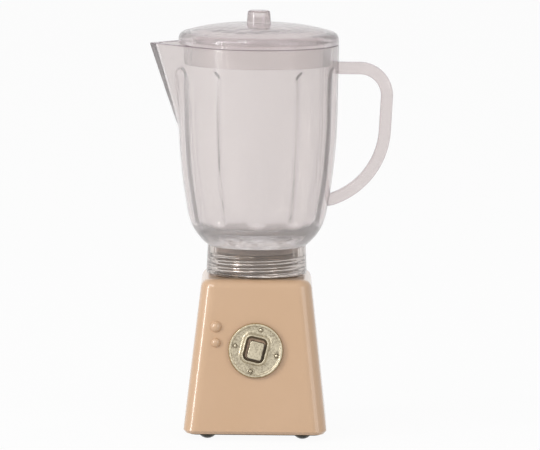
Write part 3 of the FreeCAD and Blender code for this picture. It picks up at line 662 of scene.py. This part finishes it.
# %% Stained and shaded parts of the plate
# Slot 0 is rubbed brass. Slot 1 is stain with painted shade, on steep faces and the well's floor, and a
# painted contact shadow round the outer edge.
for face in plate.data.polygons:
    steep = abs(face.normal.z) < 0.5
    low = face.center.z < PLATE_FACE / 2 * MM
    # The outermost ring is a painted contact shadow where the plate meets the housing.
    outer_shadow_ring = face.center.xy.length > (PLATE_SIDE - 0.14) * MM
    face.material_index = 1 if steep or low or outer_shadow_ring else 0
stand_up(plate)
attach(plate, "base")
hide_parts("switch_plate")
print("stained faces:", sum(face.material_index for face in plate.data.polygons))

# %% Rivets
RIVET_CIRCLE = 3.49
rivet_section = rounded([
    (0.0, -0.7), (0.18, -0.7), (0.18, 0.3), (0.5, 0.32), (0.5, 0.44, 0.04), (0.42, 0.45, 0.03),
    (0.36, 0.36, 0.03), (0.3, 0.36),
], 2) + bow((0.3, 0.38), (0.0, 0.66), 0.305, 6)
for node, x, y in (
    ("switch_rivet_right", RIVET_CIRCLE, 0.0), ("switch_rivet_top", 0.0, RIVET_CIRCLE),
    ("switch_rivet_left", -RIVET_CIRCLE, 0.0), ("switch_rivet_bottom", 0.0, -RIVET_CIRCLE),
):
    rivet = turned(node + "_dome", rivet_section, 28)
    # Slot 1 on the rivet, its lip and steep sides, is stain with painted shade for the ring-shaped hollow
    # round the dome.
    for face in rivet.data.polygons:
        face.material_index = 1 if face.center.z < (EDGE_HIGH + 0.01) * MM or abs(face.normal.z) < 0.3 else 0
    for vertex in rivet.data.vertices:
        vertex.co += Vector(metres(x, y, 0.0))
    stand_up(rivet)
    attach(rivet, "base")
    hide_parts(node)

# %% [markdown]
# ## Bumps
# Two small round bumps are cast on the housing, left of the switch. Each is a short arc spun into a
# dome. It covers the housing's own chamfered bump, so it replaces no node.

# %% Bumps
BUMP_SIDE = -6.55
for name, level, radius, high in (
    ("upper_bump_dome", 18.7, 0.95, 0.68), ("lower_bump_dome", 16.1, 0.8, 0.66),
):
    curve = (radius ** 2 + high ** 2) / (2 * high)
    bump = turned(name, [(0.0, -0.1), (radius, -0.1)] + bow((radius, 0.0), (0.0, high), curve, 8), 40)
    stand_up(bump, BUMP_SIDE, level, 0.0)
    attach(bump, "base")

# %% [markdown]
# ## Push button
# The button is a rounded block with a slightly dished top. It starts as a rounded rectangle: insets
# make its softened edge and its dish, and its open back edge is then pulled down to the block's
# depth. A narrower stem is drawn out of the back, on which it slides.

# %% Push button
BUTTON_WIDE, BUTTON_TALL, BUTTON_CORNER, BUTTON_EDGE = 2.33, 2.94, 0.36, 0.98
BLOCK_DEEP, STEM_LONG = 1.48, 4.0
button = tile("switch_button_cast", BUTTON_WIDE, BUTTON_TALL, BUTTON_CORNER, BUTTON_EDGE, 6)
step_in((0.05, 0.07), (0.08, 0.045), (0.12, -0.012), (0.08, -0.01))
bpy.ops.mesh.select_all(action="DESELECT")
bpy.ops.mesh.select_non_manifold()
bpy.ops.mesh.extrude_edges_move(TRANSFORM_OT_translate={"value": metres(0.0, 0.0, -BLOCK_DEEP)})
bpy.ops.mesh.edge_face_add()
bpy.ops.mesh.inset(thickness=0.25 * MM, depth=0.0)
bpy.ops.mesh.extrude_region_move(TRANSFORM_OT_translate={"value": metres(0.0, 0.0, -0.02)})
bpy.ops.transform.resize(value=(0.6, 0.45, 1.0))
bpy.ops.mesh.extrude_region_move(TRANSFORM_OT_translate={"value": metres(0.0, 0.0, -STEM_LONG)})
close_up(button, 40.0)
stand_up(button)
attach(button, "button")
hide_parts("switch_button")

# %% [markdown]
# ## Enamel
# The base is a die casting in peach-beige stove enamel. Enamel is a coloured coat under a hard
# gloss, so the shader has a clear coat, and a slow, shallow ripple stands for the way the thick coat
# flows before it is fired.

# %% Peach enamel on cast metal


def make_enamel():
    """A tint in patches about 12 mm across, under a gloss whose ripple is about 3 mm across."""
    material, tree = new_material("peach stove enamel")
    place = add(tree, "TexCoord").outputs["Object"]
    ripple = add(tree, "TexNoise", Vector=place, Scale=0.35 / MM, Detail=2.0)
    tint = add(tree, "TexNoise", Vector=place, Scale=0.08 / MM, Detail=3.0)
    colour = add(
        tree, "Mix", {"data_type": "RGBA"},
        i0=tint.outputs[0], i6=paint("#C4A07C"), i7=paint("#CBA888"),
    )
    bump = add(tree, "Bump", Strength=0.12, Distance=0.05 * MM, Height=ripple.outputs[0])
    shader = add(
        tree, "BsdfPrincipled", Base_Color=colour.outputs[2], Roughness=0.32, Coat_Weight=0.8,
        Coat_Roughness=0.07, Normal=bump.outputs[0],
    )
    finish_material(tree, shader)
    return material


enamel = make_enamel()
for node in ("base_housing", "upper_bump_dome", "lower_bump_dome"):
    wear(node, enamel)
print("enamel on the housing and its bumps")

# %% [markdown]
# ## Antique brass
# The switch plate, its rivets and its button are cast in a brass-coloured alloy and antiqued: a dark
# stain stays in the corners, and the high places are rubbed bright. Ambient occlusion darkens the
# corners, so it paints the shade that falls there as well as the stain, and a fine noise gives the
# skin of the casting. The feet and the closing plate are the same casting alloy, coloured dark: partly
# their own dark bronze and partly painted shade for the shadow under the base.

# %% Antique brass


def make_antique_brass(name, bright, dark, grain, metallic=0.6):
    """Grain is in specks per millimetre, coarser than a real casting's so that it shows."""
    material, tree = new_material(name)
    place = add(tree, "TexCoord").outputs["Object"]
    speck = add(tree, "TexNoise", Vector=place, Scale=grain / MM, Detail=4.0, Roughness=0.65)
    cloud = add(tree, "TexNoise", Vector=place, Scale=0.5 / MM, Detail=2.0)
    # Ambient occlusion darkens the corners: painted shade, together with the antique stain kept there.
    corner = add(tree, "AmbientOcclusion", {"samples": 8}, Distance=0.8 * MM)
    shade = add(tree, "MapRange", i0=corner.outputs["AO"], i1=0.5, i2=1.0, i3=-0.1, i4=0.85)
    mottled = add(tree, "Math", {"operation": "MULTIPLY_ADD"}, i0=speck.outputs[0], i1=2.0, i2=-1.0)
    patchy = add(tree, "Math", {"operation": "MULTIPLY_ADD"}, i0=cloud.outputs[0], i1=0.5, i2=-0.25)
    spots = add(tree, "Math", {"operation": "ADD"}, i0=mottled.outputs[0], i1=patchy.outputs[0])
    shade_and_mottling = add(
        tree, "Math", {"operation": "ADD", "use_clamp": True},
        i0=shade.outputs[0], i1=spots.outputs[0],
    )
    colour = add(
        tree, "Mix", {"data_type": "RGBA"}, i0=shade_and_mottling.outputs[0], i6=paint(dark), i7=paint(bright)
    )
    bump = add(tree, "Bump", Strength=0.8, Distance=0.06 * MM, Height=speck.outputs[0])
    shader = add(
        tree, "BsdfPrincipled", Base_Color=colour.outputs[2], Metallic=metallic, Roughness=0.24,
        Normal=bump.outputs[0],
    )
    finish_material(tree, shader)
    return material


brass = make_antique_brass("antique brass, cast", "#D2C7AE", "#54452F", 3.5)
# This stain material also paints the shade in the hollows and steep walls it is put on.
stain_and_shade = make_antique_brass("antique brass, stained and shaded hollows", "#9C8257", "#5E4929", 3.5, 0.1)
# The feet and the closing plate are darker than the switch brass: partly their own dark bronze, partly
# painted shade for the shadow under the base.
foot_bronze_and_shade = make_antique_brass("dark bronze with painted shade", "#5B5340", "#1E1A12", 4.0)
wear("switch_button_cast", brass)
plate.data.materials.append(brass)
plate.data.materials.append(stain_and_shade)
for side in ("top", "right", "bottom", "left"):
    rivet = bpy.data.objects[f"switch_rivet_{side}_dome"]
    rivet.data.materials.append(brass)
    rivet.data.materials.append(stain_and_shade)
for node in ("base_plate", "foot_front_left", "foot_front_right", "foot_rear_left", "foot_rear_right"):
    wear(node, foot_bronze_and_shade)
print("brass and bronze")

# %% [markdown]
# ## Turned steel
# The neck is turned from bright steel. A lathe leaves fine rings, so a stretched noise runs round
# the axis.

# %% Turned steel


def make_steel():
    """Rings about 0.1 mm apart up the axis, as a lathe tool leaves them."""
    material, tree = new_material("turned steel")
    place = add(tree, "TexCoord").outputs["Object"]
    flat = add(tree, "Mapping", Vector=place, Scale=(1.0, 1.0, 12.0))
    rings = add(tree, "TexNoise", Vector=flat.outputs[0], Scale=0.8 / MM, Detail=3.0)
    colour = add(
        tree, "Mix", {"data_type": "RGBA"}, i0=rings.outputs[0], i6=paint("#574C40"), i7=paint("#8C8073")
    )
    bump = add(tree, "Bump", Strength=0.3, Distance=0.02 * MM, Height=rings.outputs[0])
    shader = add(
        tree, "BsdfPrincipled", Base_Color=colour.outputs[2], Metallic=1.0, Roughness=0.24,
        Normal=bump.outputs[0],
    )
    finish_material(tree, shader)
    return material


steel = make_steel()
for node in ("neck_ring_turned", "neck_screw", "neck_washer", "button_spring", "button_clip"):
    wear(node, steel)
print("steel")

# %% [markdown]
# ## Clear plastic
# The jug, handle, lid and knob are moulded in clear polystyrene with a faint pink-grey cast. Thin
# mouldings like these are never quite clear, so a share of the light, the haze, is scattered instead
# of passed. The colour deepens where the eye looks along a wall, and a shallow ripple drawn out
# upwards stands for the flow lines that the melt leaves.

# %% Clear polystyrene


def make_clear(name, body, edge, haze, blend=0.3):
    """Clear plastic whose flow lines are about 1.4 mm apart and run on for tens of millimetres."""
    material, tree = new_material(name)
    rim = add(tree, "LayerWeight", Blend=blend)
    steep = add(tree, "Math", {"operation": "POWER"}, i0=rim.outputs["Facing"], i1=3.0)
    colour = add(tree, "Mix", {"data_type": "RGBA"}, i0=steep.outputs[0], i6=paint(body), i7=paint(edge))
    place = add(tree, "TexCoord").outputs["Object"]
    drawn = add(tree, "Mapping", Vector=place, Scale=(1.0, 1.0, 0.04))
    flow = add(tree, "TexNoise", Vector=drawn.outputs[0], Scale=0.7 / MM, Detail=2.0)
    bump = add(tree, "Bump", Strength=0.9, Distance=0.12 * MM, Height=flow.outputs[0])
    shader = add(
        tree, "BsdfPrincipled", Base_Color=colour.outputs[2], Roughness=0.12, IOR=1.5,
        Transmission_Weight=1.0 - haze, Normal=bump.outputs[0],
    )
    finish_material(tree, shader)
    return material


clear = make_clear("clear polystyrene, moulded", "#F4EFEE", "#CDB9C0", 0.17)
clear_edge = make_clear("clear polystyrene, cut edge", "#9C8590", "#8A7480", 0.4)
clear_lid = make_clear("clear polystyrene, lid", "#E9E1E1", "#B8A1AC", 0.14)
clear_bar = make_clear("clear polystyrene, solid bar", "#E6DDDC", "#8F7884", 0.18, 0.6)
clear_seal = make_clear("clear vinyl seal", "#D2C8C1", "#B3A79F", 0.35)
jug.data.materials.append(clear)
jug.data.materials.append(clear_edge)
jug.data.materials.append(make_clear("clear polystyrene, collar", "#E2D9D3", "#A8988F", 0.05))
lid.data.materials.append(clear_lid)
lid.data.materials.append(make_clear("clear polystyrene, thin plug", "#FAF6F5", "#DACFD2", 0.06))
wear("jug_seal_ring", clear_seal)
wear("jug_handle_bar", clear_bar)
wear("lid_knob_peg", clear_bar)
print("clear plastic")

# %% [markdown]
# ## Floor and light
# The photograph shows the blender alone on white. The floor and the world are white to the camera
# and through the clear plastic, and the lamps are large and soft.

# %% Floor
bpy.ops.object.select_all(action="DESELECT")
GLOW_SHARE = 0.94
bpy.ops.mesh.primitive_plane_add(size=4.0, location=(0.0, 0.0, 0.0))
floor = bpy.context.active_object
floor.name = "floor"


def seen_rays(tree):
    """One for rays that show the background as it is: from the camera, a gloss or clear plastic."""
    seen = add(tree, "LightPath").outputs
    direct = add(
        tree, "Math", {"operation": "MAXIMUM"}, i0=seen["Is Camera Ray"], i1=seen["Is Glossy Ray"]
    )
    return add(
        tree, "Math", {"operation": "MAXIMUM"}, i0=direct.outputs[0], i1=seen["Is Transmission Ray"]
    )


def make_floor_paint():
    """White to the camera, and for the small share left a matt floor that keeps the shadow."""
    material, tree = new_material("white studio floor")
    matt = add(tree, "BsdfDiffuse", Color=(0.8, 0.8, 0.8, 1.0))
    glow = add(tree, "Emission", Color=(1.0, 1.0, 1.0, 1.0), Strength=1.0)
    share = add(tree, "Math", {"operation": "MULTIPLY"}, i0=seen_rays(tree).outputs[0], i1=GLOW_SHARE)
    shader = add(tree, "MixShader", i0=share.outputs[0], i1=matt.outputs[0], i2=glow.outputs[0])
    finish_material(tree, shader)
    return material


floor.data.materials.append(make_floor_paint())
print("floor", floor.dimensions.x, "m wide")

# %% World and lamps
world = bpy.data.worlds.new("studio")
bpy.context.scene.world = world
world.use_nodes = True
tree = world.node_tree
tree.nodes.clear()
white = add(tree, "Background", Color=(1.0, 1.0, 1.0, 1.0), Strength=1.0)
room = add(tree, "Background", Color=(1.0, 1.0, 1.0, 1.0), Strength=0.55)
mixed = add(tree, "MixShader", i0=seen_rays(tree).outputs[0], i1=room.outputs[0], i2=white.outputs[0])
add(tree, "OutputWorld", Surface=mixed.outputs[0])


def lamp(name, place, wide, tall, power):
    """A soft lamp aimed at the housing, with place and sizes in metres."""
    bpy.ops.object.light_add(type="AREA", location=place)
    light = bpy.context.active_object
    light.name = name
    light.data.shape = "RECTANGLE"
    light.data.size = wide
    light.data.size_y = tall
    light.data.energy = power
    light.rotation_euler = (Vector((0.0, 0.0, 0.03)) - Vector(place)).to_track_quat("-Z", "Y").to_euler()


lamp("key", (-0.4, -0.5, 0.5), 0.6, 0.3, 1.9)
lamp("fill", (0.5, -0.5, 0.25), 0.4, 0.4, 0.8)
lamp("window", (-0.58, -0.34, 0.14), 0.1, 0.5, 2.0)
print("lights set")
